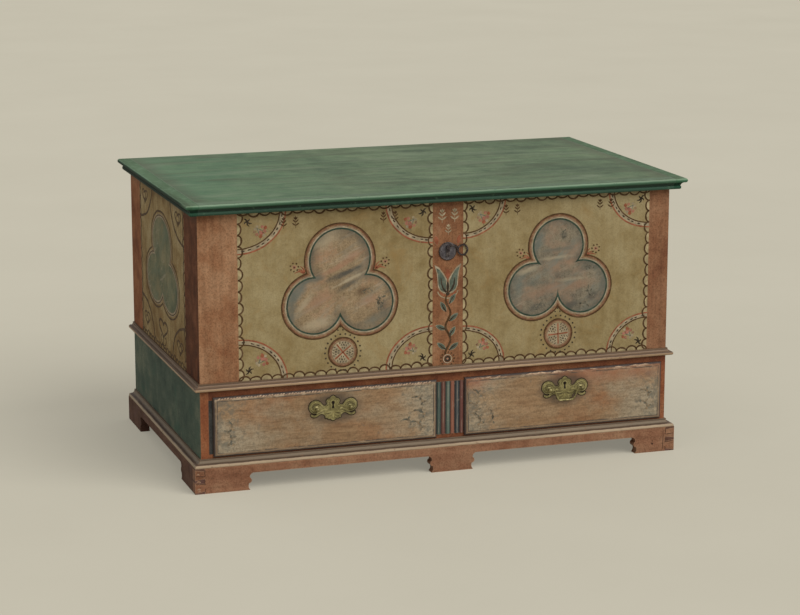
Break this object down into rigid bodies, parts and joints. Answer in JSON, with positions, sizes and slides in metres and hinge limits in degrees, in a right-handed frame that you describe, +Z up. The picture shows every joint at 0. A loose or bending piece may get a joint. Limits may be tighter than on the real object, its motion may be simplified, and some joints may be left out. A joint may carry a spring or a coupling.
{
  "type": "mule chest",
  "caption": "Painted blanket chest with a hinged lid over two side-by-side drawers, on a bracket base with shaped feet.",
  "frame": {"origin": "on the floor, at the middle of the bounding box", "axes": "+X along the front to the right of someone facing it, +Y to the back, +Z up"},
  "size_m": [1.268, 0.764, 0.6963],
  "materials": {
    "green_paint": "worn green paint",
    "ochre_paint": "painted ochre panels between red stiles",
    "end_paint": "painted ochre above, blue-green below",
    "worn_moulding": "worn paint",
    "red_paint": "worn red paint",
    "striped_paint": "green, red and blue stripes",
    "drawer_paint": "worn paint over wood",
    "bare_wood": "bare, aged",
    "iron": "dark, forged",
    "brass": "dull, cast"
  },
  "bodies": {
    "case": {"back_board": "bare_wood", "base_back": "bare_wood", "base_front": "red_paint", "base_left": "red_paint", "base_moulding_front": "worn_moulding", "base_moulding_left": "worn_moulding", "base_moulding_right": "worn_moulding", "base_right": "red_paint", "chest_floor": "bare_wood", "drawer_divider": "striped_paint", "drawer_floor": "bare_wood", "drawer_guides": "bare_wood", "drawer_partition": "bare_wood", "drawer_rail": "red_paint", "drawer_stile": "red_paint", "end_left": "end_paint", "end_right": "end_paint", "escutcheon": "iron", "escutcheon_nails": "iron", "foot_block_middle": "bare_wood", "foot_blocks_corner": "bare_wood", "front_board": "ochre_paint", "hinge_leaf_left": "iron", "hinge_leaf_nails": "iron", "hinge_leaf_right": "iron", "hinge_pins": "iron", "lock_case": "iron", "till_floor": "bare_wood", "till_side": "bare_wood", "waist_moulding_front": "worn_moulding", "waist_moulding_left": "worn_moulding", "waist_moulding_right": "worn_moulding"},
    "lid": {"hinge_strap_left": "iron", "hinge_strap_nails": "iron", "hinge_strap_right": "iron", "lid_board": "green_paint", "lid_moulding_front": "green_paint", "lid_moulding_left": "green_paint", "lid_moulding_right": "green_paint", "lock_hasp": "iron"},
    "till_lid": {"till_lid": "bare_wood"},
    "lock_bolt": {"lock_bolt": "iron"},
    "keyhole_cover": {"keyhole_cover": "iron"},
    "bail": {"drawer_right_bail": "brass"},
    "drawer_left": {"drawer_left_back": "bare_wood", "drawer_left_bottom": "bare_wood", "drawer_left_front": "drawer_paint", "drawer_left_lock": "iron", "drawer_left_plate": "brass", "drawer_left_posts": "brass", "drawer_left_side_left": "bare_wood", "drawer_left_side_right": "bare_wood"},
    "drawer_right": {"drawer_right_back": "bare_wood", "drawer_right_bottom": "bare_wood", "drawer_right_front": "drawer_paint", "drawer_right_lock": "iron", "drawer_right_plate": "brass", "drawer_right_posts": "brass", "drawer_right_side_left": "bare_wood", "drawer_right_side_right": "bare_wood"}
  },
  "joints": [
    {"name": "lid_hinge", "type": "hinge", "parent": "case", "child": "lid", "pos_m": [0, 0.3775, 0.6728], "axis": [-1, 0, 0], "range_deg": [0, 100]},
    {"name": "drawer_left_slide", "type": "slide", "parent": "case", "child": "drawer_left", "axis": [0, -1, 0], "range_m": [0, 0.45]},
    {"name": "drawer_right_slide", "type": "slide", "parent": "case", "child": "drawer_right", "axis": [0, -1, 0], "range_m": [0, 0.45]},
    {"name": "bail_swing", "type": "hinge", "parent": "drawer_right", "child": "bail", "pos_m": [0.3245, -0.3675, 0.182], "axis": [-1, 0, 0], "range_deg": [-10, 100]},
    {"name": "keyhole_cover_swing", "type": "hinge", "parent": "case", "child": "keyhole_cover", "pos_m": [0.018, -0.3503, 0.555], "axis": [0, 1, 0], "range_deg": [-90, 90]},
    {"name": "till_lid_hinge", "type": "hinge", "parent": "case", "child": "till_lid", "pos_m": [-0.572, 0, 0.51], "axis": [0, -1, 0], "range_deg": [0, 90]},
    {"name": "lock_bolt_slide", "type": "slide", "parent": "case", "child": "lock_bolt", "axis": [1, 0, 0], "range_m": [0, 0.012]}
  ]
}
